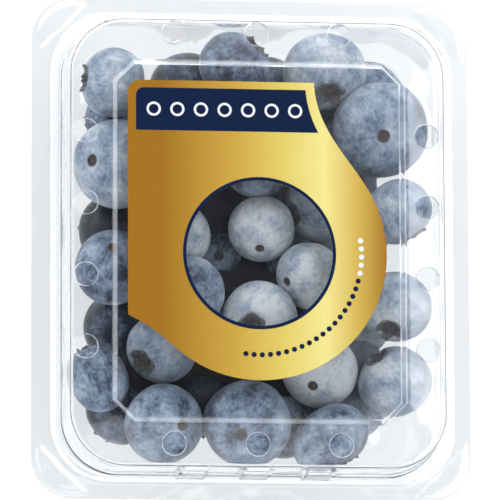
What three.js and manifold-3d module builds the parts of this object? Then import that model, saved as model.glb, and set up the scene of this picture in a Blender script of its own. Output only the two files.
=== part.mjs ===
// A clear hinged punnet of jumbo blueberries: a tray, its lid, a flat sticker and the heap of fruit.
// Millimetres. X runs across the pack, Y from its front edge to its hinge, Z up from what it stands on.
import * as THREE from 'three';
import { mergeVertices } from 'three/addons/utils/BufferGeometryUtils.js';
import Module from 'manifold-3d';

const wasm = await Module();
wasm.setup();

// Driving sizes of the pack
const packWidth = 104.5;
const packLength = 120;
const jointHeight = 25; // the plane where the two rims meet, and the height of the hinge
const rimGap = 0.3; // between the two rims
const film = 0.7; // thickness of the formed sheet
const domeHeight = 13; // lid's top above the joint plane
const trayDraft = THREE.MathUtils.degToRad(7);
const trayEdgeRadius = 4; // round of the tray's bottom edge
const cornerSteps = 8; // straight edges in each rounded corner

// Outlines seen from above, as half sizes and corner radius
const flange = { halfX: packWidth / 2, halfY: packLength / 2, radius: 10 };
const ridge = { halfX: 47.6, halfY: 55.9, radius: 14 }; // the step that locates the lid on the tray
const mouth = { halfX: 44.8, halfY: 54.1, radius: 13 }; // the tray's opening
const domeFoot = { halfX: 44.8, halfY: 53.4, radius: 13, x: 0, y: -0.35 };
const domeTop = { halfX: 44.4, halfY: 53.2, radius: 13, x: 0.4, y: -0.35 };
const ridgeRise = 1.2;
const ridgeSlope = 0.4;

// Lid: raised panel, vents, wall flutes and corner pads
const panel = { halfX: 34.7, halfY: 43.2, x: 0.4, y: -0.4, chamfer: 5.2, slope: 1.1, rise: 0.9 };
const vent = {
  radius: 2.75, sides: 16, sideX: 40.5, sidePitch: 17.1, backY: 49.6, frontY: -48.4, endPitch: 19.75,
};
const flute = { width: 8, pitch: 14.9, corner: 1.2, root: 51.5 };
const backFlutes = { face: 54.1, height: 3 };
const frontFlutes = { face: 54.7, height: 9.5 };
const pad = { reach: 13.1, inset: 0.9, rise: 0.6 };

// Sticker on the lid's panel: a flag-shaped top running into a disc with a round window
const sticker = {
  thickness: 0.25, gap: 0.3, left: -30.7, top: 37.8, cornerRadius: 2.9, topRight: 13.5,
  discX: 0.4, discY: -3.2, discRadius: 30.2, windowRadius: 17.35, leftFoot: -18.2,
};

// Fruit
const berryGap = 0.3; // clearance to the tray
const fruitTop = 32.3; // highest point of the heap
const berrySides = 11;
const core = { halfX: 33, halfY: 42, radius: 12, low: 7.5, high: 21 };

// Places of the berries seen through the lid: x, y, diameter, length along the crown's axis to
// diameter, then where the crown points as a compass angle from +X and a height above the horizon,
// in degrees
const upperBerries = [
  [-32.6, 40, 16.8, 0.88, 175, 8], [-3.5, 45.3, 17.8, 0.9, 43, 22], [18.6, 46.8, 20, 0.8, -87, 35],
  [33.6, 30.5, 23.2, 0.84, 81, -70], [35.8, 9.8, 16.5, 0.9, -56, 0], [36.2, -13.2, 17.3, 0.9, -109, 29],
  [34.8, -31, 17.6, 0.92, 130, 22], [18.8, -46, 19.2, 0.76, -60, 0], [17, -28.4, 18, 0.9, 60, -50],
  [-1, -41.3, 21, 0.84, 57, -60], [-20.5, -41.6, 19, 0.88, 160, -62], [-36, -31, 13.8, 1.18, 111, 7],
  [-20.3, -22.5, 16.8, 0.9, -142, 29], [-32.6, -4.4, 18.2, 0.9, -80, -63],
  [-31.4, 20.2, 21.5, 0.9, 4, -46], [-15, -9.4, 16.5, 0.92, 200, 30], [3, 5.5, 16, 0.94, 80, -40],
  [2.6, -16.2, 18, 0.9, -132, 59], [14, -6, 16, 0.92, 20, -30], [-14.4, 28, 18.6, 0.88, 120, 50],
  [1.6, 21.5, 17.4, 0.9, -20, 60], [16.8, 11.3, 16.5, 0.9, 200, 20], [-16.2, 2.4, 16, 0.92, 60, -20],
];

// Places of the berries below them, which show only in the gaps
const lowerBerries = [
  [-31, 31.5, 16.5, 0.9, 190, -10], [-13.2, 41.9, 18, 0.88, 95, -25], [7, 41, 18, 0.9, 60, -50],
  [28.5, 36.5, 17, 0.9, 45, -60], [22, 31, 17.4, 0.9, 140, 40], [-11, 21, 17.5, 0.9, 10, -70],
  [6, 21, 17, 0.9, -90, -60], [-31.5, 11.5, 18, 0.9, 180, -35], [30, 9, 17.5, 0.9, 0, -20],
  [-10, 2, 17, 0.92, 60, -80], [10, 1, 17.5, 0.9, -40, -45], [-30, -17, 17, 0.9, 170, -40],
  [-12, -17, 18, 0.9, 0, -85], [9, -19, 17, 0.9, 110, -55], [30, -14, 17.5, 0.9, 20, -40],
  [-30.5, -36, 17, 0.9, 225, -30], [-8.5, -38, 17.5, 0.9, -90, -15], [11, -39.5, 18, 0.9, -70, -45],
  [27.5, -34.5, 16.2, 0.9, -45, -50],
];

// An outline grown outwards by a distance and set at a height
function ring(outline, grow, z) {
  const { halfX, halfY, radius, x = 0, y = 0 } = outline;
  return { halfX: halfX + grow, halfY: halfY + grow, radius: radius + grow, x, y, z };
}

function ringPoints({ halfX, halfY, radius, x: middleX, y: middleY, z }) {
  const points = [];
  const centres = [[1, 1], [-1, 1], [-1, -1], [1, -1]];
  centres.forEach(([signX, signY], corner) => {
    for (let step = 0; step <= cornerSteps; step += 1) {
      const angle = (corner + step / cornerSteps) * Math.PI / 2;
      const x = middleX + signX * (halfX - radius) + radius * Math.cos(angle);
      const y = middleY + signY * (halfY - radius) + radius * Math.sin(angle);
      points.push([x, y, z]);
    }
  });
  return points;
}

// A closed solid through rings of points listed from its underside up
function loft(rings) {
  const count = rings[0].length;
  const positions = rings.flat(2);
  const indices = [];
  for (let level = 0; level + 1 < rings.length; level += 1) {
    for (let step = 0; step < count; step += 1) {
      const next = (step + 1) % count;
      const a = level * count + step;
      const b = level * count + next;
      indices.push(a, b, b + count, a, b + count, a + count);
    }
  }
  const top = (rings.length - 1) * count;
  for (let step = 1; step + 1 < count; step += 1) {
    indices.push(0, step + 1, step);
    indices.push(top, top + step, top + step + 1);
  }
  const geometry = new THREE.BufferGeometry();
  geometry.setAttribute('position', new THREE.Float32BufferAttribute(positions, 3));
  geometry.setIndex(indices);
  return geometry;
}

function solid(geometry) {
  const bare = geometry.clone();
  bare.deleteAttribute('normal');
  bare.deleteAttribute('uv');
  const merged = mergeVertices(bare, 1e-4);
  const mesh = new wasm.Mesh({
    numProp: 3,
    vertProperties: new Float32Array(merged.attributes.position.array),
    triVerts: new Uint32Array(merged.index.array),
  });
  return new wasm.Manifold(mesh);
}

function geometryOf(manifold) {
  const { vertProperties, triVerts } = manifold.getMesh();
  const geometry = new THREE.BufferGeometry();
  geometry.setAttribute('position', new THREE.BufferAttribute(vertProperties, 3));
  geometry.setIndex(new THREE.BufferAttribute(triVerts, 1));
  geometry.computeVertexNormals();
  return geometry;
}

function joined(solids) {
  return solids.reduce((whole, piece) => whole.add(piece));
}

// How far the tray's outer wall stands in from the mouth at a height
function trayWall(z) {
  const rimInset = 0.1;
  return -rimInset - (jointHeight - z) * Math.tan(trayDraft);
}

function trayRings(floor, inset) {
  const rings = [];
  const bendSteps = 4;
  const bendRadius = trayEdgeRadius - inset;
  const wallFoot = floor + bendRadius;
  for (let step = 0; step <= bendSteps; step += 1) {
    const angle = step / bendSteps * (Math.PI / 2 - trayDraft);
    const grow = trayWall(wallFoot) - inset - bendRadius * (1 - Math.sin(angle));
    rings.push(ring(mouth, grow, wallFoot - bendRadius * Math.cos(angle)));
  }
  return rings;
}

// Tray: a drafted tub whose rim carries a bead that the lid's ridge drops over
function trayGeometry() {
  const rimTop = jointHeight - rimGap / 2;
  const beadTop = rimTop + ridgeRise;
  const clearance = 0.35;
  const outside = [
    ...trayRings(0, 0),
    ring(mouth, trayWall(rimTop - film), rimTop - film),
    ring(flange, 0, rimTop - film),
    ring(flange, 0, rimTop),
    ring(ridge, ridgeSlope - film - clearance, rimTop),
    ring(ridge, -ridgeSlope - film - clearance, beadTop),
  ];
  const inside = [
    ...trayRings(film, film),
    ring(mouth, trayWall(rimTop) - film, rimTop),
    ring(mouth, trayWall(rimTop), beadTop + film),
  ];
  const tub = solid(loft(outside.map(ringPoints)));
  return geometryOf(tub.subtract(solid(loft(inside.map(ringPoints)))));
}

function lidRings(inset) {
  const rimBottom = jointHeight + rimGap / 2;
  const rimTop = rimBottom + film;
  const ledge = rimTop + ridgeRise;
  const top = jointHeight + domeHeight;
  const footBend = 0.5;
  const bend = 1.1;
  return [
    ring(ridge, ridgeSlope - inset, rimTop - inset),
    ring(ridge, -ridgeSlope - inset, ledge - inset),
    ring(domeFoot, footBend - inset, ledge - inset),
    ring(domeFoot, -inset, ledge + footBend - inset),
    ring(domeTop, -inset, top - bend - inset),
    ring(domeTop, -bend * 0.3 - inset, top - bend * 0.3 - inset),
    ring(domeTop, -bend - inset, top - inset),
  ];
}

function octagonPoints(inset, z) {
  const x = panel.halfX - inset;
  const y = panel.halfY - inset;
  const cut = panel.chamfer - inset * (2 - Math.SQRT2);
  const corners = [
    [x, y - cut], [x - cut, y], [-x + cut, y], [-x, y - cut],
    [-x, -y + cut], [-x + cut, -y], [x - cut, -y], [x, -y + cut],
  ];
  return corners.map(([across, along]) => [panel.x + across, panel.y + along, z]);
}

function panelSolid(drop) {
  const top = jointHeight + domeHeight - drop;
  const root = drop > 0 ? 1 : 0.2;
  return solid(loft([
    octagonPoints(0, top - root),
    octagonPoints(0, top),
    octagonPoints(panel.slope, top + panel.rise),
  ]));
}

// Pockets formed outwards in the foot of the dome's back wall and up its front wall
function fluteSolids(inset) {
  const half = flute.width / 2 - inset;
  const solids = [];
  for (const [turn, { face: outside, height }] of [[0, backFlutes], [Math.PI, frontFlutes]]) {
    const face = outside - inset;
    for (const place of [-1, 0, 1]) {
      const shape = new THREE.Shape();
      shape.moveTo(-half, flute.root);
      shape.lineTo(half, flute.root);
      shape.lineTo(half, face - flute.corner);
      shape.lineTo(half - flute.corner, face);
      shape.lineTo(-half + flute.corner, face);
      shape.lineTo(-half, face - flute.corner);
      const geometry = new THREE.ExtrudeGeometry(shape, { depth: height - inset, bevelEnabled: false });
      geometry.rotateZ(turn);
      geometry.translate(place * flute.pitch, 0, jointHeight + ridgeRise);
      solids.push(solid(geometry));
    }
  }
  return solids;
}

// Raised pad on each corner of the lid's rim, cut off along a slant
function padSolids() {
  const { reach, inset, rise } = pad;
  const root = 0.2;
  const rimTop = jointHeight + rimGap / 2 + film;
  return [[1, 1], [-1, 1], [-1, -1], [1, -1]].map(([signX, signY]) => {
    const x = flange.halfX - inset;
    const y = flange.halfY - inset;
    const round = flange.radius - inset;
    const shape = new THREE.Shape();
    shape.moveTo(x, y - reach);
    shape.lineTo(x, y - round);
    shape.absarc(x - round, y - round, round, 0, Math.PI / 2, false);
    shape.lineTo(x - reach, y);
    const thickness = { depth: rise + root, bevelEnabled: false, curveSegments: 5 };
    const geometry = new THREE.ExtrudeGeometry(shape, thickness);
    geometry.translate(0, 0, rimTop - root);
    const raised = solid(geometry);
    return raised.scale([signX, signY, 1]);
  });
}

function ventSolids() {
  const places = [];
  for (const side of [-1, 1]) {
    for (const step of [-1.5, -0.5, 0.5, 1.5]) {
      places.push([side * vent.sideX, step * vent.sidePitch]);
    }
  }
  for (const y of [vent.backY, vent.frontY]) {
    for (const step of [-1, 0, 1]) {
      places.push([step * vent.endPitch, y]);
    }
  }
  return places.map(([x, y]) => {
    const geometry = new THREE.CylinderGeometry(vent.radius, vent.radius, 4, vent.sides);
    geometry.rotateX(Math.PI / 2);
    geometry.translate(x, y, jointHeight + domeHeight);
    return solid(geometry);
  });
}

// Lid: a shallow dome with a raised eight-sided panel and a ring of round vents
function lidGeometry() {
  const rimBottom = jointHeight + rimGap / 2;
  const rim = [ring(flange, 0, rimBottom), ring(flange, 0, rimBottom + film)];
  const outside = solid(loft([...rim, ...lidRings(0)].map(ringPoints)));
  const inside = solid(loft(lidRings(film).map(ringPoints)));
  const below = lidRings(film)[0];
  const belowRim = [rimBottom - 1, rimBottom + 0.01].map((z) => ({ ...below, z }));
  const underside = solid(loft(belowRim.map(ringPoints)));
  const body = joined([outside, panelSolid(0), ...fluteSolids(0), ...padSolids()]);
  const hollow = joined([inside, underside, panelSolid(film), ...fluteSolids(film)]);
  return geometryOf(body.subtract(hollow).subtract(joined(ventSolids())));
}

function stickerShape() {
  const { left, top, cornerRadius, topRight, discX, discY, discRadius, leftFoot } = sticker;
  const rightJoin = THREE.MathUtils.degToRad(32);
  const leftJoin = THREE.MathUtils.degToRad(228);
  const rightEnd = [discX + discRadius * Math.cos(rightJoin), discY + discRadius * Math.sin(rightJoin)];
  const leftStart = [discX + discRadius * Math.cos(leftJoin), discY + discRadius * Math.sin(leftJoin)];
  const shape = new THREE.Shape();
  shape.moveTo(left + cornerRadius, top);
  shape.lineTo(topRight, top);
  shape.bezierCurveTo(topRight + 0.4, top - 10.6, rightEnd[0] - 5, rightEnd[1] + 8, ...rightEnd);
  shape.absarc(discX, discY, discRadius, rightJoin, leftJoin - 2 * Math.PI, true);
  shape.bezierCurveTo(leftStart[0] - 3.7, leftStart[1] + 3.3, left + 4.3, leftFoot - 2.2, left, leftFoot);
  shape.lineTo(left, top - cornerRadius);
  shape.absarc(left + cornerRadius, top - cornerRadius, cornerRadius, Math.PI, Math.PI / 2, true);
  return shape;
}

function stickerGeometry() {
  const { thickness, gap, discX, discY, windowRadius } = sticker;
  const nearest = 0.05;
  const outline = stickerShape().getPoints(14);
  const points = outline.filter((point, place) => point.distanceTo(outline.at(place - 1)) > nearest);
  const sheet = new THREE.ExtrudeGeometry(new THREE.Shape(points), { depth: thickness, bevelEnabled: false });
  const opening = new THREE.CylinderGeometry(windowRadius, windowRadius, 4 * thickness, 48);
  opening.rotateX(Math.PI / 2);
  opening.translate(discX, discY, 0);
  const geometry = geometryOf(solid(sheet).subtract(solid(opening)));
  geometry.translate(0, 0, jointHeight + domeHeight + panel.rise + gap);
  return geometry;
}

// Where each layer starts, how low it may sink, and the share of its drift that a berry takes back
const layers = [
  { places: lowerBerries, height: 10, lowest: 0, hold: 0.02 },
  { places: upperBerries, height: 22, lowest: 19.5, hold: 0.2 },
];

function newBerry([x, y, diameter, length, compassDegrees, riseDegrees], { height, lowest, hold }) {
  const compass = THREE.MathUtils.degToRad(compassDegrees);
  const rise = THREE.MathUtils.degToRad(riseDegrees);
  const level = Math.cos(rise);
  const axis = new THREE.Vector3(level * Math.cos(compass), level * Math.sin(compass), Math.sin(rise));
  const place = new THREE.Vector3(x, y, height);
  return { place, home: { x, y }, radius: diameter / 2, length, compass, rise, axis, lowest, hold };
}

// How far a berry stands out from its middle along a direction of length 1
function reachOf(berry, direction) {
  const along = berry.axis.dot(direction);
  return berry.radius * Math.sqrt(1 - (1 - berry.length ** 2) * along ** 2);
}

// Berries spread until none cross, kept inside the tray and drawn down and back to their places
function settledBerries() {
  const berries = layers.flatMap((layer) => layer.places.map((row) => newBerry(row, layer)));
  const rounds = 400;
  const sink = 0.03;
  for (let round = 0; round < rounds; round += 1) {
    for (const { place, home, hold, lowest } of berries) {
      place.x += (home.x - place.x) * hold;
      place.y += (home.y - place.y) * hold;
      place.z = Math.max(place.z - sink, lowest);
    }
    for (let first = 0; first < berries.length; first += 1) {
      for (let second = first + 1; second < berries.length; second += 1) {
        pushApart(berries[first], berries[second]);
      }
    }
    berries.forEach(keepInTray);
  }
  return berries;
}

function pushApart(first, second) {
  const squeeze = 0.97; // ripe berries press flat where they touch
  const away = second.place.clone().sub(first.place);
  const distance = away.length();
  const towards = away.clone().divideScalar(distance);
  const reach = (reachOf(first, towards) + reachOf(second, towards)) * squeeze;
  if (distance >= reach) {
    return;
  }
  const share = (reach - distance) / distance / 2;
  first.place.addScaledVector(away, -share);
  second.place.addScaledVector(away, share);
}

function keepInTray(berry) {
  const { place } = berry;
  const lift = reachOf(berry, new THREE.Vector3(0, 0, 1));
  place.z = Math.min(Math.max(place.z, film + berryGap + lift), fruitTop - lift);
  const wall = trayWall(Math.min(place.z, jointHeight)) - film;
  const radius = mouth.radius + wall;
  const cornerX = mouth.halfX + wall - radius;
  const cornerY = mouth.halfY + wall - radius;
  const roomTowards = (x, y) => {
    const reach = reachOf(berry, new THREE.Vector3(x, y, 0));
    return radius - (reach + berryGap) / Math.cos(trayDraft);
  };
  const overX = Math.abs(place.x) - cornerX;
  const overY = Math.abs(place.y) - cornerY;
  if (overX > 0 && overY > 0) {
    const distance = Math.hypot(overX, overY);
    const outX = Math.sign(place.x) * overX / distance;
    const outY = Math.sign(place.y) * overY / distance;
    const room = roomTowards(outX, outY);
    if (distance > room) {
      place.x = Math.sign(place.x) * cornerX + outX * room;
      place.y = Math.sign(place.y) * cornerY + outY * room;
    }
    return;
  }
  place.x = Math.sign(place.x) * Math.min(Math.abs(place.x), cornerX + roomTowards(1, 0));
  place.y = Math.sign(place.y) * Math.min(Math.abs(place.y), cornerY + roomTowards(0, 1));
}

// One berry about its own centre: a flattened ball with a scar below and a hollow crown on top
function berryGeometry({ radius, length }) {
  const height = radius * length;
  const profile = [[0, -0.94], [0.1, -0.95], [0.2, -0.985], [0.62, -0.78], [0.93, -0.36], [1, 0.02],
    [0.9, 0.43], [0.62, 0.79], [0.37, 0.93], [0.33, 1.0], [0.22, 0.86], [0, 0.82]];
  const points = profile.map(([out, up]) => new THREE.Vector2(out * radius, up * height));
  const geometry = new THREE.LatheGeometry(points, berrySides);
  geometry.rotateX(Math.PI / 2);
  return geometry;
}

function placedBerry(berry) {
  const geometry = berryGeometry(berry);
  geometry.rotateY(Math.PI / 2 - berry.rise);
  geometry.rotateZ(berry.compass);
  geometry.translate(berry.place.x, berry.place.y, berry.place.z);
  return solid(geometry);
}

// Heap of fruit: the berries fused on a smaller core that stays out of sight between them
function heapGeometry() {
  const outline = { halfX: core.halfX, halfY: core.halfY, radius: core.radius };
  const middle = (core.low + core.high) / 2;
  const coreSolid = solid(loft([
    ring(outline, -4, core.low), ring(outline, 0, middle - 3),
    ring(outline, 0, middle + 3), ring(outline, -4, core.high),
  ].map(ringPoints)));
  return geometryOf(joined([coreSolid, ...settledBerries().map(placedBerry)]));
}

function mesh(name, geometry, material) {
  const piece = new THREE.Mesh(geometry, material);
  piece.name = name;
  return piece;
}

const clearPlastic = { color: '#eef3f5', roughness: 0.08, metalness: 0, transparent: true, opacity: 0.3 };
const group = new THREE.Group();
group.add(mesh('base', trayGeometry(), new THREE.MeshStandardMaterial(clearPlastic)));
group.add(mesh('lid', lidGeometry(), new THREE.MeshStandardMaterial(clearPlastic)));
group.add(mesh('label', stickerGeometry(), new THREE.MeshStandardMaterial({
  color: '#d9b152', roughness: 0.35, metalness: 0.3,
})));
group.add(mesh('berries', heapGeometry(), new THREE.MeshStandardMaterial({
  color: '#5f6f8c', roughness: 0.6, metalness: 0,
})));

export default group;
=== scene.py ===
# A clear hinged punnet of jumbo blueberries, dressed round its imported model.
import math

import bmesh
import bpy
from mathutils import Matrix, Vector, noise
from mathutils.geometry import tessellate_polygon


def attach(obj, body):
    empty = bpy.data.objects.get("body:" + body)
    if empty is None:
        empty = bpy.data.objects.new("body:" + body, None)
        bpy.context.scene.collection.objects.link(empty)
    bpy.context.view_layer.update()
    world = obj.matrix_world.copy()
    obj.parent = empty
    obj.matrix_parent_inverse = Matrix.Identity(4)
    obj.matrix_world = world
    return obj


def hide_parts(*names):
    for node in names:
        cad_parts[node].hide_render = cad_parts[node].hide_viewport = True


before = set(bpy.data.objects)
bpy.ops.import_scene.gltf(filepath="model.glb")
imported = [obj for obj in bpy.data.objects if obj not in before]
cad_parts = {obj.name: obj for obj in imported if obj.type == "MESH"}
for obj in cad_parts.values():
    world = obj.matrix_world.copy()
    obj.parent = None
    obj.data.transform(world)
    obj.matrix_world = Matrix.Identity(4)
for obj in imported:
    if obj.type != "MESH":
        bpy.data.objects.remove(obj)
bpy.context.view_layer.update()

MM = 0.001

# Sizes of the pack in millimetres, as its solids have them
PACK_WIDTH = 104.5
PACK_LENGTH = 120
JOINT_HEIGHT = 25
RIM_GAP = 0.3
CAD_FILM = 0.7
DOME_HEIGHT = 13
TRAY_DRAFT = math.radians(7)
TRAY_EDGE = 4
FLOOR_STEP = 0.8
RIDGE_RISE = 1.2
RIDGE_SLOPE = 0.4

# Outlines seen from above: half width, half length, corner radius
FLANGE = (PACK_WIDTH / 2, PACK_LENGTH / 2, 10)
RIDGE = (47.6, 55.9, 14)
MOUTH = (44.8, 54.1, 13)
DOME_FOOT = (44.8, 53.4, 13)
DOME_TOP = (44.4, 53.2, 13)
PANEL = (34.7, 43.2, 5.2)

# The dome stands a little off the rim's middle
TOP_X = 0.4
DOME_Y = -0.35

# Forms of the dome and the rim
PANEL_SLOPE = 1.1
PANEL_RISE = 0.9
VENT_RADIUS = 2.75
VENT_SIDE_X = 40.5
VENT_SIDE_PITCH = 17.1
VENT_BACK_Y = 49.6
VENT_FRONT_Y = -48.4
VENT_END_PITCH = 19.75
FLUTE_WIDTH = 8
FLUTE_PITCH = 14.9
BACK_FLUTE = (54.1, 3)  # where a flute's face stands, and its height
FRONT_FLUTE = (54.7, 9.5)
PAD_REACH = 14.9
PAD_INSET = 0.9
PAD_ROUND = 1.5
PAD_RISE = 0.25

# The real sheet is thinner than the solids', with rounded turns, and a little uneven
FILM = 0.3
FILM_TURN = 0.9
BAND_FALL = 0.32
WAVE_DEPTH = 0.04
WAVE_LENGTH = 17
LID_WAVES = 3.1
TRAY_WAVES = 8.3

# Fineness of the film's mesh
CORNER_STEPS = 48
END_STEPS = 128
SIDE_STEPS = 72
VENT_STEPS = 48
BERRY_COLUMNS = 44
LEAST_RADIUS = 1

# Camera
VIEW_TILT_LEFT = math.radians(7)
VIEW_TILT_FRONT = math.radians(9.5)
VIEW_ROLL = math.radians(-0.25)
VIEW_DISTANCE = 1.4
VIEW_WIDTH = 0.1188
VIEW_SHIFT = -0.0014
SENSOR = 36

# Height of the level soft lamps over the table, in metres
LAMP_HEIGHT = 0.9

# The floor's half width, and how far it lies under the pack, in millimetres
FLOOR_HALF = 4000
FLOOR_DROP = 0.3


def smooth(low, high, value):
    share = min(max((value - low) / (high - low), 0), 1)
    return share * share * (3 - 2 * share)


def new_object(name, mesh, material, body):
    piece = bpy.data.objects.new(name, mesh)
    bpy.context.scene.collection.objects.link(piece)
    mesh.materials.append(material)
    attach(piece, body)
    return piece


def make_mesh(name, points, faces, shade_smooth=True):
    mesh = bpy.data.meshes.new(name)
    mesh.from_pydata([Vector(point) * MM for point in points], [], faces)
    mesh.polygons.foreach_set("use_smooth", [shade_smooth] * len(mesh.polygons))
    mesh.update()
    return mesh


# Materials

def node_material(name):
    material = bpy.data.materials.new(name)
    material.use_nodes = True
    nodes = material.node_tree.nodes
    links = material.node_tree.links
    nodes.clear()
    output = nodes.new("ShaderNodeOutputMaterial")
    shader = nodes.new("ShaderNodeBsdfPrincipled")
    links.new(shader.outputs["BSDF"], output.inputs["Surface"])
    return material, nodes, links, shader, output


def noise_node(nodes, links, place, scale, detail=4.0, roughness=0.5):
    node = nodes.new("ShaderNodeTexNoise")
    node.inputs["Scale"].default_value = scale
    node.inputs["Detail"].default_value = detail
    node.inputs["Roughness"].default_value = roughness
    links.new(place, node.inputs["Vector"])
    return node


def ramp_node(nodes, links, value, stops):
    node = nodes.new("ShaderNodeValToRGB")
    elements = node.color_ramp.elements
    while len(elements) < len(stops):
        elements.new(1)
    for element, (position, colour) in zip(elements, stops):
        element.position = position
        element.color = (*colour, 1)
    links.new(value, node.inputs["Fac"])
    return node


def mix_colour(nodes, links, share, first, second):
    node = nodes.new("ShaderNodeMix")
    node.data_type = "RGBA"
    for socket, source in ((0, share), (6, first), (7, second)):
        if isinstance(source, bpy.types.NodeSocket):
            links.new(source, node.inputs[socket])
        elif socket == 0:
            node.inputs[socket].default_value = source
        else:
            node.inputs[socket].default_value = (*source, 1)
    return node.outputs[2]


def maths_node(nodes, links, operation, first, second):
    node = nodes.new("ShaderNodeMath")
    node.operation = operation
    for socket, source in enumerate((first, second)):
        if isinstance(source, bpy.types.NodeSocket):
            links.new(source, node.inputs[socket])
        else:
            node.inputs[socket].default_value = source
    return node.outputs[0]


def bump_node(nodes, links, height, distance, strength=1.0):
    node = nodes.new("ShaderNodeBump")
    node.inputs["Distance"].default_value = distance
    node.inputs["Strength"].default_value = strength
    links.new(height, node.inputs["Height"])
    return node.outputs["Normal"]


def film_material():
    """Clear formed sheet that lets the lamps' light through to the fruit."""
    material, nodes, links, shader, output = node_material("clear_film")
    shader.inputs["Base Color"].default_value = (0.955, 0.967, 0.975, 1)
    shader.inputs["Transmission Weight"].default_value = 1
    shader.inputs["Roughness"].default_value = 0.035
    shader.inputs["IOR"].default_value = 1.575
    place = nodes.new("ShaderNodeTexCoord").outputs["Object"]
    waves = noise_node(nodes, links, place, 90, 2.0)
    links.new(bump_node(nodes, links, waves.outputs["Fac"], 0.00006), shader.inputs["Normal"])
    clear = nodes.new("ShaderNodeBsdfTransparent")
    clear.inputs["Color"].default_value = (0.965, 0.970, 0.973, 1)
    path = nodes.new("ShaderNodeLightPath")
    mix = nodes.new("ShaderNodeMixShader")
    shadow, diffuse = path.outputs["Is Shadow Ray"], path.outputs["Is Diffuse Ray"]
    links.new(maths_node(nodes, links, "MAXIMUM", shadow, diffuse), mix.inputs[0])
    links.new(shader.outputs["BSDF"], mix.inputs[1])
    links.new(clear.outputs["BSDF"], mix.inputs[2])
    links.new(mix.outputs["Shader"], output.inputs["Surface"])
    return material


def berry_material():
    """Dark skin under a rubbed, streaky waxy coat, with a brown crown and scar; the coat's share carries
    painted shade and light.
    """
    material, nodes, links, shader, _ = node_material("blueberry_skin")
    place = nodes.new("ShaderNodeAttribute")
    place.attribute_name = "skin_place"
    marks = nodes.new("ShaderNodeAttribute")
    marks.attribute_name = "marks"
    split = nodes.new("ShaderNodeSeparateColor")
    links.new(marks.outputs["Color"], split.inputs["Color"])
    crown, scar, bloom_and_shading = split.outputs

    patches = noise_node(nodes, links, place.outputs["Vector"], 1.5, 6.0, 0.62)
    meridian = nodes.new("ShaderNodeAttribute")
    meridian.attribute_name = "streak_place"
    streaks = noise_node(nodes, links, meridian.outputs["Vector"], 1.4, 5.0, 0.65)
    specks = noise_node(nodes, links, place.outputs["Vector"], 9, 6.0, 0.75)

    # The waxy share from the marks carries painted shade for berries deep in the heap, and per-berry
    # painted light and shade
    cover_and_shading = bloom_and_shading
    for source, weight in ((patches, 1.55), (streaks, 0.5), (specks, 0.85)):
        even = maths_node(nodes, links, "SUBTRACT", source.outputs["Fac"], 0.5)
        cover_and_shading = maths_node(nodes, links, "ADD", maths_node(nodes, links, "MULTIPLY", even, weight), cover_and_shading)
    skin = ramp_node(nodes, links, cover_and_shading, [
        (0.10, (0.005, 0.008, 0.016)),
        (0.28, (0.029, 0.043, 0.079)),
        (0.48, (0.120, 0.165, 0.235)),
        (0.65, (0.212, 0.262, 0.332)),
        (0.88, (0.350, 0.390, 0.436)),
        (1.00, (0.460, 0.488, 0.515)),
    ])
    calyx = ramp_node(nodes, links, specks.outputs["Fac"], [
        (0.35, (0.012, 0.012, 0.014)),
        (0.52, (0.060, 0.058, 0.060)),
        (0.70, (0.170, 0.150, 0.125)),
    ])
    stalk = ramp_node(nodes, links, specks.outputs["Fac"], [
        (0.35, (0.013, 0.011, 0.010)),
        (0.55, (0.040, 0.030, 0.022)),
        (0.72, (0.160, 0.115, 0.065)),
    ])
    colour = mix_colour(nodes, links, crown, skin.outputs["Color"], calyx.outputs["Color"])
    colour = mix_colour(nodes, links, scar, colour, stalk.outputs["Color"])
    links.new(colour, shader.inputs["Base Color"])
    shine = ramp_node(nodes, links, cover_and_shading, [(0.25, (0.38, 0.38, 0.38)), (0.6, (0.72, 0.72, 0.72))])
    links.new(shine.outputs["Color"], shader.inputs["Roughness"])
    shader.inputs["Specular IOR Level"].default_value = 0.35
    shader.inputs["Sheen Weight"].default_value = 0.15
    shader.inputs["Sheen Roughness"].default_value = 0.5
    height = maths_node(nodes, links, "ADD", specks.outputs["Fac"], streaks.outputs["Fac"])
    links.new(bump_node(nodes, links, height, 0.00012, 0.6), shader.inputs["Normal"])
    return material


def gold_material():
    """Printed gold that runs from dark through pale and back across the label."""
    material, nodes, links, shader, _ = node_material("label_gold")
    place = nodes.new("ShaderNodeTexCoord").outputs["Object"]
    split = nodes.new("ShaderNodeSeparateXYZ")
    links.new(place, split.inputs["Vector"])
    left, right = LABEL_LEFT * MM, (LABEL_DISC[0] + LABEL_DISC_RADIUS) * MM
    across = nodes.new("ShaderNodeMapRange")
    across.inputs["From Min"].default_value = left
    across.inputs["From Max"].default_value = right
    links.new(split.outputs["X"], across.inputs["Value"])
    gold = ramp_node(nodes, links, across.outputs["Result"], [
        (0.13, (0.239, 0.108, 0.005)),
        (0.42, (0.405, 0.252, 0.035)),
        (0.60, (0.505, 0.400, 0.087)),
        (0.76, (0.592, 0.522, 0.183)),
        (0.88, (0.452, 0.313, 0.061)),
        (1.00, (0.246, 0.116, 0.007)),
    ])
    grain = noise_node(nodes, links, place, 2500, 3.0)
    fleck = ramp_node(nodes, links, grain.outputs["Fac"], [(0.3, (0.93,) * 3), (0.7, (1.0,) * 3)])
    blend = nodes.new("ShaderNodeMix")
    blend.data_type = "RGBA"
    blend.blend_type = "MULTIPLY"
    blend.inputs[0].default_value = 1
    links.new(gold.outputs["Color"], blend.inputs[6])
    links.new(fleck.outputs["Color"], blend.inputs[7])
    links.new(blend.outputs[2], shader.inputs["Base Color"])
    shader.inputs["Roughness"].default_value = 0.42
    shader.inputs["Specular IOR Level"].default_value = 0.1
    links.new(bump_node(nodes, links, grain.outputs["Fac"], 0.00002), shader.inputs["Normal"])
    return material


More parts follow.
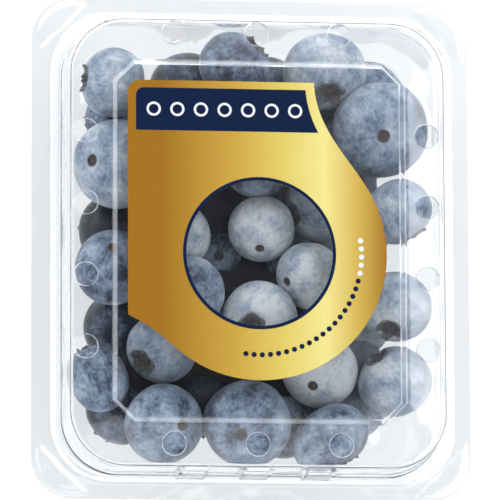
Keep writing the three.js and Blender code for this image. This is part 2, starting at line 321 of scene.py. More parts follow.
def ink_material(name, colour):
    material, nodes, links, shader, _ = node_material(name)
    place = nodes.new("ShaderNodeTexCoord").outputs["Object"]
    grain = noise_node(nodes, links, place, 1800, 3.0)
    darker = tuple(channel * 0.86 for channel in colour)
    tone = ramp_node(nodes, links, grain.outputs["Fac"], [(0.3, darker), (0.7, colour)])
    links.new(tone.outputs["Color"], shader.inputs["Base Color"])
    shader.inputs["Roughness"].default_value = 0.45
    shader.inputs["Specular IOR Level"].default_value = 0.06
    return material


def floor_material():
    material, nodes, links, shader, _ = node_material("pale_floor")
    place = nodes.new("ShaderNodeTexCoord").outputs["Object"]
    grain = noise_node(nodes, links, place, 40, 3.0)
    tone = ramp_node(nodes, links, grain.outputs["Fac"], [
        (0.2, (0.20, 0.20, 0.205)),
        (0.8, (0.22, 0.22, 0.22)),
    ])
    links.new(tone.outputs["Color"], shader.inputs["Base Color"])
    shader.inputs["Roughness"].default_value = 0.9
    shader.inputs["Specular IOR Level"].default_value = 0.1
    shader.inputs["Emission Color"].default_value = (1, 1, 1, 1)
    shader.inputs["Emission Strength"].default_value = 0.80
    return material


# Film: sheets lofted through rings, each ring a rounded outline (half width, half length, radius, cut, z)

def ring(outline, grow, z, cut=0.0):
    """Cut says how far the corners have gone from round, 0, to straight, 1."""
    return (outline[0] + grow, outline[1] + grow, max(outline[2] + grow, LEAST_RADIUS), cut, z)


def between(first, second, share):
    return tuple(a + (b - a) * share for a, b in zip(first, second))


def gap(first, second):
    return math.hypot(first[0] - second[0], first[4] - second[4])


def rounded(rings, radius, steps=4):
    """The same run of rings with each turn of its profile rounded off."""
    result = [rings[0]]
    for before, turn, after in zip(rings, rings[1:], rings[2:]):
        lead = min(radius, 0.45 * gap(before, turn)) / max(gap(before, turn), 1e-6)
        trail = min(radius, 0.45 * gap(turn, after)) / max(gap(turn, after), 1e-6)
        start = between(turn, before, lead)
        end = between(turn, after, trail)
        for step in range(steps + 1):
            share = step / steps
            result.append(between(between(start, turn, share), between(turn, end, share), share))
    result.append(rings[-1])
    return result


def split_long(rings, longest):
    """More rings where two lie far apart."""
    result = [rings[0]]
    for first, second in zip(rings, rings[1:]):
        parts = max(1, math.ceil(gap(first, second) / longest))
        for part in range(1, parts + 1):
            result.append(between(first, second, part / parts))
    return result


def ring_points(shape):
    half_x, half_y, radius, cut, z = shape
    points = []
    for corner, (sign_x, sign_y) in enumerate(((1, 1), (-1, 1), (-1, -1), (1, -1))):
        centre_x = sign_x * (half_x - radius)
        centre_y = sign_y * (half_y - radius)
        start = corner * math.pi / 2
        arc = []
        for step in range(CORNER_STEPS + 1):
            angle = start + step / CORNER_STEPS * math.pi / 2
            across, along = math.cos(angle), math.sin(angle)
            arc.append(Vector((centre_x + radius * across, centre_y + radius * along, z)))
        for step, point in enumerate(arc):
            chord = arc[0].lerp(arc[-1], step / CORNER_STEPS)
            points.append(point.lerp(chord, cut))
        following = ((-1, 1), (-1, -1), (1, -1), (1, 1))[corner]
        goal_angle = start + math.pi / 2
        goal = Vector((
            following[0] * (half_x - radius) + radius * math.cos(goal_angle),
            following[1] * (half_y - radius) + radius * math.sin(goal_angle),
            z,
        ))
        steps = END_STEPS if corner % 2 == 0 else SIDE_STEPS
        last = points[-1]
        points.extend(last.lerp(goal, step / steps) for step in range(1, steps))
    return points


def moved_in(rings, index):
    """A ring set off by the film's thickness along its profile's normal, to the sheet's lower side."""
    before = rings[max(index - 1, 0)]
    after = rings[min(index + 1, len(rings) - 1)]
    run = after[0] - before[0]
    rise = after[4] - before[4]
    length = math.hypot(run, rise)
    out = -rise / length * FILM
    up = run / length * FILM
    half_x, half_y, radius, cut, z = rings[index]
    return (half_x + out, half_y + out, radius + out, cut, z + up)


def sheet_mesh(name, rings, relief):
    """A closed film from its rim, the first ring, to its middle, with relief added to both faces."""
    faces_up = [ring_points(shape) for shape in rings]
    faces_down = [ring_points(moved_in(rings, index)) for index in range(len(rings))]
    count = len(faces_up[0])
    points = []
    for layer in (faces_up, faces_down):
        for row in layer:
            points.extend(relief(point) for point in row)
    levels = len(rings)
    faces = []
    for layer in (0, 1):
        first = layer * levels * count
        for level in range(levels - 1):
            for step in range(count):
                a = first + level * count + step
                b = first + level * count + (step + 1) % count
                quad = (a, b, b + count, a + count)
                faces.append(quad if layer == 0 else quad[::-1])
        middle = len(points)
        last = first + (levels - 1) * count
        total = Vector((0, 0, 0))
        for step in range(count):
            total += points[last + step]
        points.append(total / count)
        for step in range(count):
            fan = (last + step, last + (step + 1) % count, middle)
            faces.append(fan if layer == 0 else fan[::-1])
    lower = levels * count
    for step in range(count):
        nearby = (step + 1) % count
        faces.append((step, lower + step, lower + nearby, nearby))
    return make_mesh(name, points, faces)


def waves(x, y, seed):
    return WAVE_DEPTH * noise.noise(Vector((x / WAVE_LENGTH, y / WAVE_LENGTH, seed)))


def pad_rise(x, y):
    """Raised corner pads of the rim, cut off from the rest along a slant with rounded ends."""
    from_side = FLANGE[0] - abs(x)
    from_end = FLANGE[1] - abs(y)
    slant = (PAD_REACH - from_side - from_end) / math.sqrt(2)
    edge = min(from_side, from_end) - PAD_INSET
    if from_side < FLANGE[2] and from_end < FLANGE[2]:
        edge = FLANGE[2] - math.hypot(FLANGE[2] - from_side, FLANGE[2] - from_end) - PAD_INSET
    inside = PAD_ROUND - math.hypot(max(PAD_ROUND - slant, 0), max(PAD_ROUND - edge, 0))
    return PAD_RISE * smooth(-0.2, 1.1, inside)


def across_flute(x):
    nearest = min(abs(x - place * FLUTE_PITCH) for place in (-1, 0, 1))
    return 1 - smooth(FLUTE_WIDTH / 2 - 0.9, FLUTE_WIDTH / 2, nearest)


def flute_push(point):
    """How far a point of the dome's front or back wall is pushed out by the flutes."""
    face, height = BACK_FLUTE if point.y > 0 else FRONT_FLUTE
    low = JOINT_HEIGHT + RIDGE_RISE
    if abs(point.y) < DOME_TOP[1] - 3 or not low < point.z < low + height + 0.8:
        return 0
    up = 1 - smooth(low + height - 1.2, low + height, point.z)
    foot = DOME_FOOT[1] + 0.3
    ledge_end = RIDGE[1] - RIDGE_SLOPE - 0.2
    on_ledge = min(max((ledge_end - abs(point.y)) / (ledge_end - foot), 0), 1)
    depth = face - foot - math.copysign(DOME_Y, point.y)
    return depth * across_flute(point.x) * up * on_ledge


def lid_relief(point):
    x, y, z = point
    over_joint = z - JOINT_HEIGHT
    lift = pad_rise(x, y) if over_joint < 2 else waves(x, y, LID_WAVES)
    push = math.copysign(flute_push(point), y)
    inside = min(RIDGE[0] - abs(x), RIDGE[1] - abs(y))
    up_wall = smooth(2, DOME_HEIGHT - 1, over_joint)
    return Vector((x + TOP_X * up_wall, y + push + DOME_Y * smooth(0.8, 1.8, inside), z + lift))


def lid_rings():
    rim_top = JOINT_HEIGHT + RIM_GAP / 2 + CAD_FILM
    ledge = rim_top + RIDGE_RISE
    top = JOINT_HEIGHT + DOME_HEIGHT
    brow = ring(DOME_TOP, -2.5, top - BAND_FALL * 0.8)
    panel_foot = ring(PANEL, 0.5, top, 1)
    wall = [
        ring(FLANGE, 0, rim_top),
        ring(RIDGE, RIDGE_SLOPE, rim_top),
        ring(RIDGE, -RIDGE_SLOPE, ledge),
        ring(DOME_FOOT, 0.35, ledge),
        ring(DOME_TOP, 0, top - BAND_FALL),
        brow,
    ]
    rim = split_long(wall[:2], 0.3)
    wall = rim[:-1] + split_long(rounded(wall[1:], FILM_TURN, 6), 0.9)
    panel = [
        panel_foot,
        ring(PANEL, 0, top, 1),
        ring(PANEL, -PANEL_SLOPE, top + PANEL_RISE, 1),
        ring(PANEL, -PANEL_SLOPE - 1.2, top + PANEL_RISE, 1),
    ]
    panel = split_long(rounded(panel, 0.2, 3), 0.3)
    middle = [panel[-1], (6, 14, 3, 1, top + PANEL_RISE)]
    border = split_long([brow, panel_foot], 1.2)
    return wall + border[1:-1] + panel + split_long(middle, 2.2)[1:]


def tray_wall(z):
    return -0.1 - (JOINT_HEIGHT - z) * math.tan(TRAY_DRAFT)


def tray_rings():
    """The tray's upper face, from the rim's edge over the bead and down to the floor."""
    rim_top = JOINT_HEIGHT - RIM_GAP / 2
    bead_top = rim_top + RIDGE_RISE
    bead = RIDGE_SLOPE - CAD_FILM - 0.35
    floor = FILM
    step = floor + FLOOR_STEP
    foot = floor + TRAY_EDGE
    inner = tray_wall(0) - FILM
    rings = [
        ring(FLANGE, 0, rim_top),
        ring(RIDGE, bead, rim_top),
        ring(RIDGE, bead - 2 * RIDGE_SLOPE, bead_top),
        ring(MOUTH, tray_wall(JOINT_HEIGHT) + 0.3, bead_top),
        ring(MOUTH, tray_wall(JOINT_HEIGHT - 1) - FILM, rim_top - 1),
        ring(MOUTH, tray_wall(foot) - FILM, foot),
        ring(MOUTH, inner - TRAY_EDGE * 0.35, floor + TRAY_EDGE * 0.25),
        ring(MOUTH, inner - TRAY_EDGE, floor),
        ring(MOUTH, inner - 8, floor),
        ring(MOUTH, inner - 9.5, step),
        ring(MOUTH, inner - 12, step),
    ]
    rings = split_long(rounded(rings, FILM_TURN), 1.2)
    middle = [rings[-1], (5, 12, 3, 0, step)]
    return rings + split_long(middle, 3)[1:]


def tray_relief(point):
    x, y, z = point
    push = 0
    if abs(y) > MOUTH[1] - 5 and 6 < z < JOINT_HEIGHT - 1.5:
        push = math.copysign(0.5 * waves(x, z, TRAY_WAVES), y)
    return Vector((x, y + push, z))


def apply_modifiers(piece):
    graph = bpy.context.evaluated_depsgraph_get()
    mesh = bpy.data.meshes.new_from_object(piece.evaluated_get(graph))
    piece.modifiers.clear()
    piece.data = mesh
    return mesh


def vent_places():
    places = []
    for side in (-1, 1):
        for step in (-1.5, -0.5, 0.5, 1.5):
            places.append((side * VENT_SIDE_X, step * VENT_SIDE_PITCH))
    for y in (VENT_BACK_Y, VENT_FRONT_Y):
        for step in (-1, 0, 1):
            places.append((step * VENT_END_PITCH, y))
    return places


def swept_ring(section):
    """Points and faces of a closed section, (radius, height) pairs, turned round each vent."""
    points = []
    faces = []
    size = len(section)
    for x, y in vent_places():
        first = len(points)
        middle = JOINT_HEIGHT + DOME_HEIGHT - BAND_FALL * 0.5
        for step in range(VENT_STEPS):
            angle = step / VENT_STEPS * 2 * math.pi
            across, along = math.cos(angle), math.sin(angle)
            for radius, height in section:
                points.append(Vector((x + radius * across, y + radius * along, middle + height)))
        for step in range(VENT_STEPS):
            here = first + step * size
            there = first + (step + 1) % VENT_STEPS * size
            for side in range(size):
                after = (side + 1) % size
                faces.append((here + side, there + side, there + after, here + after))
    return points, faces


def vent_cutter():
    """Upright plugs that cut the vents out of the lid."""
    points = []
    faces = []
    for x, y in vent_places():
        first = len(points)
        for height in (-3, 3):
            for step in range(VENT_STEPS):
                angle = step / VENT_STEPS * 2 * math.pi
                points.append(Vector((
                    x + VENT_RADIUS * math.cos(angle),
                    y + VENT_RADIUS * math.sin(angle),
                    JOINT_HEIGHT + DOME_HEIGHT + height,
                )))
        faces.append(tuple(first + step for step in reversed(range(VENT_STEPS))))
        faces.append(tuple(first + VENT_STEPS + step for step in range(VENT_STEPS)))
        for step in range(VENT_STEPS):
            a = first + step
            b = first + (step + 1) % VENT_STEPS
            faces.append((a, b, b + VENT_STEPS, a + VENT_STEPS))
    return make_mesh("vent_cutter", points, faces)


def make_lid(film):
    mesh = sheet_mesh("lid_film", lid_rings(), lid_relief)
    lid = new_object("lid_film", mesh, film, "lid")
    cutter = bpy.data.objects.new("vent_cutter", vent_cutter())
    bpy.context.scene.collection.objects.link(cutter)
    cut = lid.modifiers.new("vents", "BOOLEAN")
    cut.operation = "DIFFERENCE"
    cut.solver = "EXACT"
    cut.object = cutter
    cut_mesh = apply_modifiers(lid)
    cut_mesh.polygons.foreach_set("use_smooth", [True] * len(cut_mesh.polygons))
    cut_mesh.set_sharp_from_angle(angle=math.radians(40))
    bpy.data.objects.remove(cutter)
    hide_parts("lid")
    lip = [(-0.04, -0.1), (0.22, -0.1), (0.2, 0.1), (0, 0.16)]
    points, faces = swept_ring([(VENT_RADIUS + out, up) for out, up in lip])
    rims = new_object("vent_rims", make_mesh("vent_rims", points, faces), film, "lid")


def make_tray(film):
    mesh = sheet_mesh("tray_film", tray_rings(), tray_relief)
    mesh.set_sharp_from_angle(angle=math.radians(40))
    tray = new_object("tray_film", mesh, film, "tray")
    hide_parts("base")


# Label: a flat sticker printed with plain fields of colour

LABEL_LEFT = -30.7
LABEL_TOP = 37.8
LABEL_CORNER = 2.9
LABEL_TOP_RIGHT = 13.5
LABEL_DISC = (0.4, -3.2)
LABEL_DISC_RADIUS = 30.2
LABEL_DISC_ARC = (32, -132)  # where the disc's edge starts on the right and ends on the left
LABEL_WINDOW = 17.35
LABEL_RING = 0.8
LABEL_LEFT_FOOT = -18.2
LABEL_THICKNESS = 0.12
INK = 0.02
BANNER = (-28.8, 25.8, 36.0)  # left, bottom and top
BANNER_CORNER = 1.9
BANNER_RIGHT = (14.5, 11.5)  # its right end at the bottom and at the top
BEADS = 7
BEAD_FIRST = -24.6
BEAD_PITCH = 5.6
BEAD_RADII = (1.7, 1.15)
DOTS = 24
NAVY_DOTS = 19
DOT_RADIUS = 0.62
DOT_RUN = 24.2  # radius of the arc that the dots follow
DOT_START = -98
DOT_PITCH = 4.6


def bezier(start, first, second, end, steps=24):
    points = []
    corners = (start, first, second, end)
    for step in range(1, steps + 1):
        t = step / steps
        weights = ((1 - t) ** 3, 3 * t * (1 - t) ** 2, 3 * t * t * (1 - t), t ** 3)
        points.append(tuple(sum(w * p[axis] for w, p in zip(weights, corners)) for axis in (0, 1)))
    return points


def arc_points(centre, radius, start, end, steps):
    """Points of an arc between two angles in degrees, ends included."""
    angles = [math.radians(start + (end - start) * step / steps) for step in range(steps + 1)]
    return [(centre[0] + radius * math.cos(a), centre[1] + radius * math.sin(a)) for a in angles]


def label_outline():
    corner = (LABEL_LEFT + LABEL_CORNER, LABEL_TOP - LABEL_CORNER)
    disc = arc_points(LABEL_DISC, LABEL_DISC_RADIUS, *LABEL_DISC_ARC, 110)
    right, left = disc[0], disc[-1]
    start = (LABEL_TOP_RIGHT, LABEL_TOP)
    points = arc_points(corner, LABEL_CORNER, 180, 90, 10) + [start]
    points += bezier(start, (start[0] + 0.4, start[1] - 10.6), (right[0] - 5, right[1] + 8), right)[:-1]
    points += disc
    foot = (LABEL_LEFT, LABEL_LEFT_FOOT)
    points += bezier(left, (left[0] - 3.7, left[1] + 3.3), (foot[0] + 4.3, foot[1] - 2.2), foot)
    return points[::-1]


def print_mesh(name, outlines, bottom, thickness):
    """A thin printed layer over flat outlines, the first round the outside and the rest holes."""
    points = []
    faces = []
    flat = [point for outline in outlines for point in outline]
    count = len(flat)
    for height in (bottom, bottom + thickness):
        points.extend(Vector((x, y, height + label_height(x, y))) for x, y in flat)
    for a, b, c in tessellate_polygon([[Vector((x, y, 0)) for x, y in outline] for outline in outlines]):
        first, second, third = (Vector(flat[i]) for i in (a, b, c))
        turn = (second - first).cross(third - first)
        up = (a, b, c) if turn > 0 else (c, b, a)
        faces.append(tuple(i + count for i in up))
        faces.append(up[::-1])
    offset = 0
    for outline in outlines:
        size = len(outline)
        for step in range(size):
            a = offset + step
            b = offset + (step + 1) % size
            faces.append((a, b, b + count, a + count))
        offset += size
    return make_mesh(name, points, faces, False)


def label_height(x, y):
    return JOINT_HEIGHT + DOME_HEIGHT + PANEL_RISE + waves(x, y, LID_WAVES) + 0.02


def circle(centre, radius, steps=96):
    return arc_points(centre, radius, 0, 360 * (steps - 1) / steps, steps - 1)


def add_print(name, outlines, layer, thickness, material):
    piece = new_object(name, print_mesh(name, outlines, layer, thickness), material, "lid")
    return piece


def banner_outline():
    left, bottom, top = BANNER
    lower_right, upper_right = (BANNER_RIGHT[0], bottom), (BANNER_RIGHT[1], top)
    points = arc_points((left + BANNER_CORNER, top - BANNER_CORNER), BANNER_CORNER, 180, 90, 8)
    points.append(upper_right)
    points += bezier(upper_right, (11.7, top - 3.4), (12.9, bottom + 3.0), lower_right)
    points.append((left, bottom))
    return points[::-1]


def make_label():
    gold = gold_material()
    navy = ink_material("label_navy", (0.0015, 0.0090, 0.0380))
    white = ink_material("label_white", (0.62, 0.63, 0.64))
    window = circle(LABEL_DISC, LABEL_WINDOW)
    sheet = add_print("label_sheet", [label_outline(), window], 0, LABEL_THICKNESS, gold)
    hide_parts("label")
    add_print("label_banner", [banner_outline()], LABEL_THICKNESS, INK, navy)
    ring_outer = circle(LABEL_DISC, LABEL_WINDOW + LABEL_RING)
    add_print("label_ring", [ring_outer, window], LABEL_THICKNESS, INK, navy)
    for bead in range(BEADS):
        place = (BEAD_FIRST + bead * BEAD_PITCH, (BANNER[1] + BANNER[2]) / 2)
        outlines = [circle(place, radius, 32) for radius in BEAD_RADII]
        add_print(f"label_bead_{bead + 1}", outlines, LABEL_THICKNESS + INK, INK, white)
    for dot in range(DOTS):
        angle = math.radians(DOT_START + dot * DOT_PITCH)
        place = (LABEL_DISC[0] + DOT_RUN * math.cos(angle), LABEL_DISC[1] + DOT_RUN * math.sin(angle))
        ink = navy if dot < NAVY_DOTS else white
        add_print(f"label_dot_{dot + 1}", [circle(place, DOT_RADIUS, 20)], LABEL_THICKNESS, INK, ink)


# Fruit: the same berries in the same places as the solid heap

BERRY_GAP = 0.3
FRUIT_TOP = 32.3
CORE = (33, 42, 12)
CORE_LOW = 7.5
CORE_HIGH = 15.5
CORE_PAINTED_LIGHT = (14, 26)  # painted light: the core turns pale between these places along X, where light would reach it

# Painted shade deep in the heap: a berry's waxy share is lowered by this much at the low height, and not
# at all at the high one
PAINTED_DEEP_SHADE = 0.14
SHADED_LOW = 8
SHADED_HIGH = 20

# x, y, diameter, length along the crown's axis to diameter, the crown's compass angle and height
# above the horizon in degrees, and how much waxy coat is left on the skin, set low as painted shade on
# some berries deep in the heap and high as painted light on berries in the label's shade
UPPER_BERRIES = (
    (-32.6, 40.0, 16.8, 0.88, 175, 8, 0.70), (-3.5, 45.3, 17.8, 0.90, 43, 22, 0.37),
    (18.6, 46.8, 20.0, 0.80, -87, 35, 0.74), (33.6, 30.5, 23.2, 0.84, 81, -70, 0.55),
    (35.8, 9.8, 16.5, 0.90, -56, 0, 0.65), (36.2, -13.2, 17.3, 0.90, -109, 29, 0.77),
    (34.8, -31.0, 17.6, 0.92, 130, 22, 0.78), (18.8, -46.0, 19.2, 0.76, -60, 0, 0.48),
    (17.0, -28.4, 18.0, 0.90, 60, -50, 1.02), (-1.0, -41.3, 21.0, 0.84, 57, -60, 0.46),
    (-20.5, -41.6, 19.0, 0.88, 160, -62, 0.47), (-36.0, -31.0, 13.8, 1.18, 111, 7, 0.45),
    (-20.3, -22.5, 16.8, 0.90, -142, 29, 0.64), (-32.6, -4.4, 18.2, 0.90, -80, -63, 0.43),
    (-31.4, 20.2, 21.5, 0.90, 4, -46, 0.66), (-15.0, -9.4, 16.5, 0.92, 200, 30, 0.50),
    (3.0, 5.5, 16.0, 0.94, 80, -40, 0.88), (2.6, -16.2, 18.0, 0.90, -132, 59, 0.82),
    (14.0, -6.0, 16.0, 0.92, 20, -30, 0.84), (-14.4, 28.0, 18.6, 0.88, 120, 50, 0.52),
    (1.6, 21.5, 17.4, 0.90, -20, 60, 0.42), (16.8, 11.3, 16.5, 0.90, 200, 20, 0.66),
    (-16.2, 2.4, 16.0, 0.92, 60, -20, 0.84),
)
LOWER_BERRIES = (
    (-31, 31.5, 16.5, 0.90, 190, -10, 0.46), (-13.2, 41.9, 18.0, 0.88, 95, -25, 0.26),
    (7, 41, 18.0, 0.90, 60, -50, 0.34), (28.5, 36.5, 17.0, 0.90, 45, -60, 0.60),
    (22, 31, 17.4, 0.90, 140, 40, 0.34), (-11, 21, 17.5, 0.90, 10, -70, 0.40),
    (6, 21, 17.0, 0.90, -90, -60, 0.40), (-31.5, 11.5, 18.0, 0.90, 180, -35, 0.12),
    (30, 9, 17.5, 0.90, 0, -20, 0.60), (-10, 2, 17.0, 0.92, 60, -80, 0.42),
    (10, 1, 17.5, 0.90, -40, -45, 0.42), (-30.0, -17, 17.0, 0.90, 170, -40, 0.30),
    (-12, -17, 18.0, 0.90, 0, -85, 0.42), (9, -19, 17.0, 0.90, 110, -55, 0.42),
    (30, -14, 17.5, 0.90, 20, -40, 0.80), (-30.5, -36.0, 17.0, 0.90, 225, -30, 0.36),
    (-8.5, -38, 17.5, 0.90, -90, -15, 0.12), (11, -39.5, 18.0, 0.90, -70, -45, 0.40),
    (27.5, -34.5, 16.2, 0.90, -45, -50, 0.85),
)
# Each layer's starting height, lowest height, and the share of its drift that a berry takes back
LAYERS = ((LOWER_BERRIES, 10, 0, 0.02), (UPPER_BERRIES, 22, 19.5, 0.2))

# Rounds of settling, how far a berry sinks in each, and how flat ripe berries press where they touch
ROUNDS = 400
SINK = 0.03
SQUEEZE = 0.97

# In shares of a berry's radius: where its petals rise from, how far they lean out, and how lumpy it is
PETAL_FOOT = 0.87
PETAL_LEAN = 0.30
LUMPS = 0.035
FINE_LUMPS = 0.010


class Berry:
    def __init__(self, row, height, lowest, hold):
        self.x, self.y, diameter, self.length, compass, rise, self.bloom_and_shading = row
        self.z = height
        self.lowest = lowest
        self.home = (self.x, self.y)
        self.hold = hold
        self.radius = diameter / 2
        self.compass = math.radians(compass)
        self.rise = math.radians(rise)
        level = math.cos(self.rise)
        self.axis = (level * math.cos(self.compass), level * math.sin(self.compass), math.sin(self.rise))

    def reach(self, x, y, z):
        """How far the berry stands out from its middle along a direction of length 1."""
        along = self.axis[0] * x + self.axis[1] * y + self.axis[2] * z
        return self.radius * math.sqrt(1 - (1 - self.length ** 2) * along ** 2)


def push_apart(first, second):
    away = (second.x - first.x, second.y - first.y, second.z - first.z)
    distance = math.hypot(*away)
    towards = tuple(part / distance for part in away)
    reach = (first.reach(*towards) + second.reach(*towards)) * SQUEEZE
    if distance >= reach:
        return
    share = (reach - distance) / distance / 2
    first.x -= away[0] * share
    first.y -= away[1] * share
    first.z -= away[2] * share
    second.x += away[0] * share
    second.y += away[1] * share
    second.z += away[2] * share


def keep_in_tray(berry):
    lift = berry.reach(0, 0, 1)
    berry.z = min(max(berry.z, CAD_FILM + BERRY_GAP + lift), FRUIT_TOP - lift)
    wall = tray_wall(min(berry.z, JOINT_HEIGHT)) - CAD_FILM
    radius = MOUTH[2] + wall
    corner_x = MOUTH[0] + wall - radius
    corner_y = MOUTH[1] + wall - radius
    over_x = abs(berry.x) - corner_x
    over_y = abs(berry.y) - corner_y
    if over_x > 0 and over_y > 0:
        distance = math.hypot(over_x, over_y)
        out_x = math.copysign(over_x / distance, berry.x)
        out_y = math.copysign(over_y / distance, berry.y)
        room = radius - (berry.reach(out_x, out_y, 0) + BERRY_GAP) / math.cos(TRAY_DRAFT)
        if distance > room:
            berry.x = math.copysign(corner_x, berry.x) + out_x * room
            berry.y = math.copysign(corner_y, berry.y) + out_y * room
        return
    room_x = radius - (berry.reach(1, 0, 0) + BERRY_GAP) / math.cos(TRAY_DRAFT)
    room_y = radius - (berry.reach(0, 1, 0) + BERRY_GAP) / math.cos(TRAY_DRAFT)
    berry.x = math.copysign(min(abs(berry.x), corner_x + room_x), berry.x)
    berry.y = math.copysign(min(abs(berry.y), corner_y + room_y), berry.y)


def settled_berries():
    berries = [Berry(row, height, lowest, hold) for rows, height, lowest, hold in LAYERS for row in rows]
    for _ in range(ROUNDS):
        for berry in berries:
            berry.x += (berry.home[0] - berry.x) * berry.hold
            berry.y += (berry.home[1] - berry.y) * berry.hold
            berry.z = max(berry.z - SINK, berry.lowest)
        for index, first in enumerate(berries):
            for second in berries[index + 1:]:
                push_apart(first, second)
        for berry in berries:
            keep_in_tray(berry)
    return berries


def berry_profile():
    """Distance from the axis, height, crown mark and scar mark, from the crown's middle to the scar's."""
    rows = [
        (0.0, 0.835, 1, 0), (0.03, 0.850, 1, 0), (0.06, 0.815, 1, 0),
        (0.12, 0.790, 1, 0), (0.18, 0.785, 1, 0),
        (0.225, 0.810, 1, 0), (0.255, 0.880, 0.95, 0), (0.285, 0.960, 0.9, 0), (0.315, 1.010, 0.85, 0),
        (0.330, 1.005, 0.85, 0), (0.335, 0.965, 0.7, 0), (0.345, 0.940, 0.2, 0), (0.375, 0.930, 0, 0),
    ]
    for degrees in range(25, 168, 6):
        angle = math.radians(degrees)
        height = math.copysign(abs(math.cos(angle)) ** 0.96, math.cos(angle))
        rows.append((math.sin(angle) ** 0.92, height, 0, 0))
    rows += [
        (0.165, -0.990, 0, 0), (0.140, -0.990, 0, 0.4), (0.125, -0.970, 0, 1), (0.09, -0.955, 0, 1),
        (0.05, -0.950, 0, 1), (0.03, -0.962, 0, 1), (0.0, -0.962, 0, 1),
    ]
    return rows


def petal_shape(angle, seed):
    """How far up the crown's five uneven petals stand at an angle, from 0 to 1."""
    lean = 0.35 * math.sin(seed * 3.1 + 2 * angle)
    lobe = 0.5 + 0.5 * math.cos(5 * angle + seed + lean)
    ragged = noise.noise(Vector((math.cos(angle) * 4, math.sin(angle) * 4, seed)))
    return min(max(lobe ** 0.8 * (0.85 + 0.9 * ragged), 0), 1.25)


def berry_shape(berry, seed, points, faces, places, streaks, marks):
    rows = berry_profile()
    columns = BERRY_COLUMNS
    first = len(points)
    turn = Matrix.Rotation(berry.compass, 3, "Z") @ Matrix.Rotation(math.pi / 2 - berry.rise, 3, "Y")
    centre = Vector((berry.x, berry.y, berry.z))
    spread = Vector((seed * 3.7, seed * 1.9, seed * 2.3))
    crown_size = 0.92 + 0.22 * noise.noise(Vector((seed * 1.3, 0, 0)))
    for out, up, crown, scar in rows:
        for column in range(columns):
            angle = column / columns * 2 * math.pi
            width = out
            height = up
            if crown > 0:
                width = out * crown_size
            if crown > 0 and out > 0.23:
                petal = petal_shape(angle, seed)
                height = PETAL_FOOT + (up - PETAL_FOOT) * (0.15 + petal)
                width *= 1 + PETAL_LEAN * petal * smooth(0.23, 0.33, out)
            place = Vector((width * math.cos(angle), width * math.sin(angle), height))
            lump = noise.noise(place * 0.9 + Vector((seed * 7, 0, 0)))
            fine = noise.noise(place * 2.6 + Vector((0, seed * 5, 0)))
            skin = Vector((place.x, place.y, place.z * berry.length)) * berry.radius
            skin *= 1 + LUMPS * lump + (FINE_LUMPS * fine if crown == 0 else 0)
            point = centre + turn @ skin
            # Painted shade: the lower a point lies in the heap, the more its waxy share is lowered, so
            # deep berries come out darker
            depth = 1 - smooth(SHADED_LOW, SHADED_HIGH, point.z)
            points.append(point)
            places.append(place + spread)
            streaks.append(Vector((5 * math.cos(angle), 5 * math.sin(angle), 1.1 * height)) + spread)
            marks.append((crown, scar, berry.bloom_and_shading - PAINTED_DEEP_SHADE * depth, 1))
    for row in range(len(rows) - 1):
        for column in range(columns):
            a = first + row * columns + column
            b = first + row * columns + (column + 1) % columns
            faces.append((a, a + columns, b + columns, b))


def add_attribute(mesh, name, kind, field, rows):
    attribute = mesh.attributes.new(name, kind, "POINT")
    attribute.data.foreach_set(field, [value for row in rows for value in row])


def make_berries():
    points, faces, places, streaks, marks = [], [], [], [], []
    for number, berry in enumerate(settled_berries()):
        berry_shape(berry, number + 1.0, points, faces, places, streaks, marks)
    mesh = make_mesh("blueberries", points, faces)
    add_attribute(mesh, "skin_place", "FLOAT_VECTOR", "vector", places)
    add_attribute(mesh, "streak_place", "FLOAT_VECTOR", "vector", streaks)
    add_attribute(mesh, "marks", "FLOAT_COLOR", "color", marks)
    shape = bmesh.new()
    shape.from_mesh(mesh)
    bmesh.ops.remove_doubles(shape, verts=shape.verts, dist=1e-6)
    bmesh.ops.recalc_face_normals(shape, faces=shape.faces)
    shape.to_mesh(mesh)
    shape.free()
    heap = new_object("blueberries", mesh, berry_material(), "tray")
    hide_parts("berries")


def core_material():
    """Painted shade between the berries, near-black, with painted light, a paler tone, on the side that
    the light reaches.
    """
    material, nodes, links, shader, _ = node_material("painted_shade_core")
    place = nodes.new("ShaderNodeTexCoord").outputs["Object"]
    mottle = noise_node(nodes, links, place, 180, 5.0)
    # Painted shade: a near-black tone for the shaded depths between the berries
    tone = ramp_node(nodes, links, mottle.outputs["Fac"], [
        (0.3, (0.001, 0.001, 0.002)),
        (0.7, (0.004, 0.005, 0.008)),
    ])
    # Painted light: a paler tone for the side of the core that light reaches
    pale = ramp_node(nodes, links, mottle.outputs["Fac"], [
        (0.3, (0.090, 0.108, 0.140)),
        (0.7, (0.230, 0.265, 0.320)),
    ])
    split = nodes.new("ShaderNodeSeparateXYZ")
    links.new(place, split.inputs["Vector"])
    across = nodes.new("ShaderNodeMapRange")
    across.inputs["From Min"].default_value = CORE_PAINTED_LIGHT[0] * MM
    across.inputs["From Max"].default_value = CORE_PAINTED_LIGHT[1] * MM
    links.new(split.outputs["X"], across.inputs["Value"])
    share = across.outputs["Result"]
    colour = mix_colour(nodes, links, share, tone.outputs["Color"], pale.outputs["Color"])
    links.new(colour, shader.inputs["Base Color"])
    shader.inputs["Roughness"].default_value = 0.8
    return material


